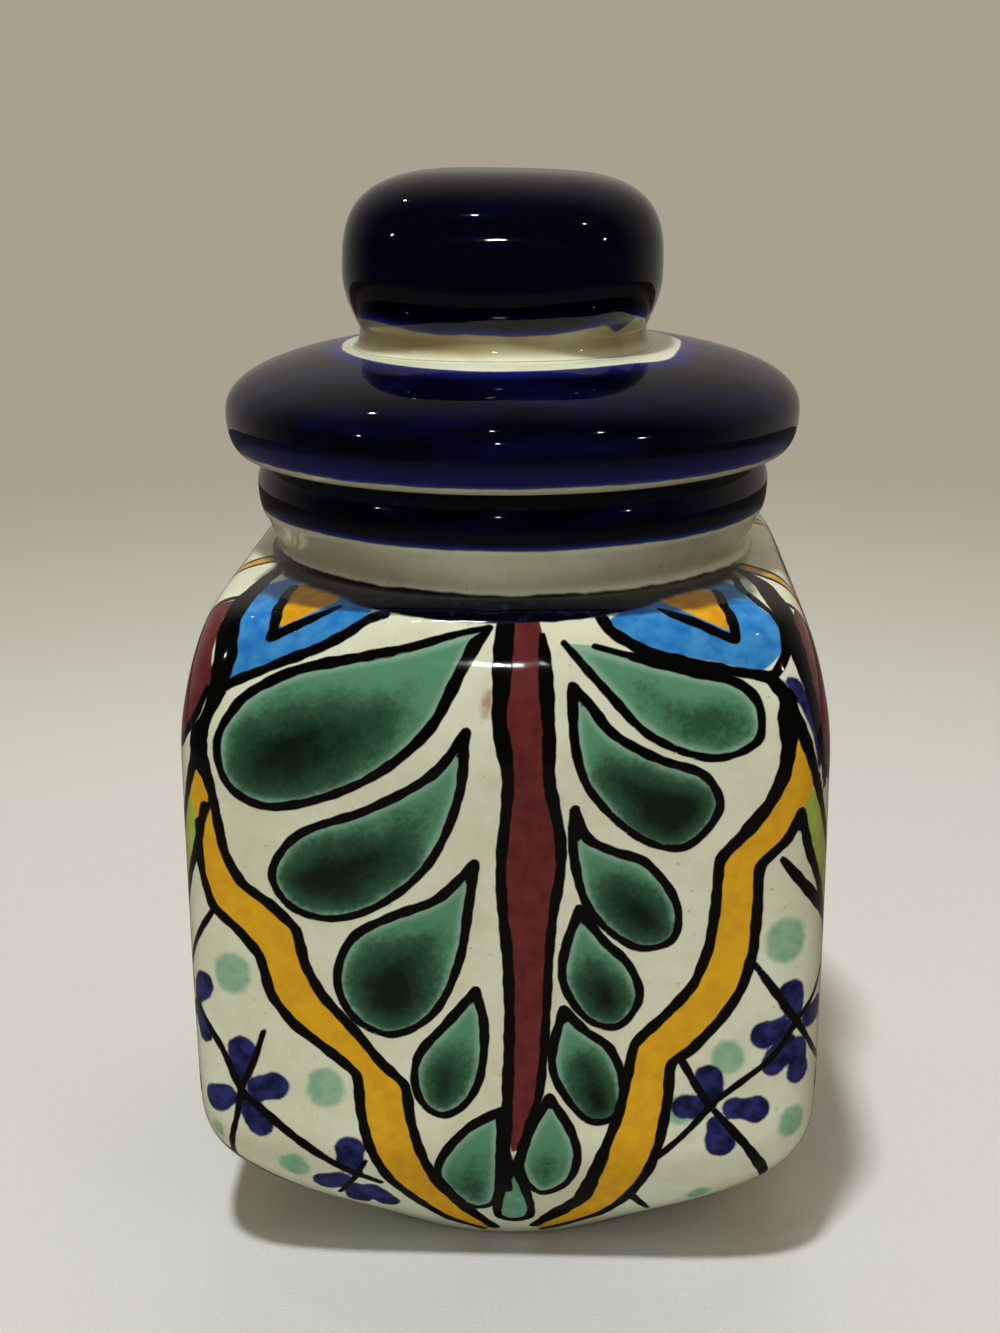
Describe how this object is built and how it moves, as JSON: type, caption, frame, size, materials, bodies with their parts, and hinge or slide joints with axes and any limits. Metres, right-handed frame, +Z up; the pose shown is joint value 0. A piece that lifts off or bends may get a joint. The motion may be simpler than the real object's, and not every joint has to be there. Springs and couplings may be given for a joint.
{
  "type": "glazed ceramic spice jar with lid",
  "caption": "Square-bellied glazed spice jar with a round rolled mouth and a lift-off domed lid with a block knob.",
  "frame": {"origin": "centre of the jar's plan on the surface it stands on", "axes": "+Z up along the jar's axis; the painted front with the central stem looks along -Y; +X is to the right of that front"},
  "size_m": [0.09, 0.09, 0.1519],
  "materials": {
    "jar_glaze": "cream tin glaze with hand-painted pattern under a clear gloss",
    "lid_glaze": "cobalt glaze, high gloss",
    "knob_glaze": "cobalt glaze, high gloss, bare cream glaze at the neck",
    "seal": "matt translucent silicone"
  },
  "bodies": {
    "jar": {"jar_body": "jar_glaze"},
    "seal": {"lid_seal": "seal"},
    "lid": {"lid_cover": "lid_glaze", "lid_knob": "knob_glaze"}
  },
  "joints": [
    {"name": "lid_lift", "type": "slide", "parent": "jar", "child": "seal", "axis": [0, 0, 1], "range_m": [0, 0.08]},
    {"name": "lid_turn", "type": "hinge", "parent": "seal", "child": "lid", "pos_m": [0, 0, 0.1127], "axis": [0, 0, 1], "continuous": true}
  ]
}
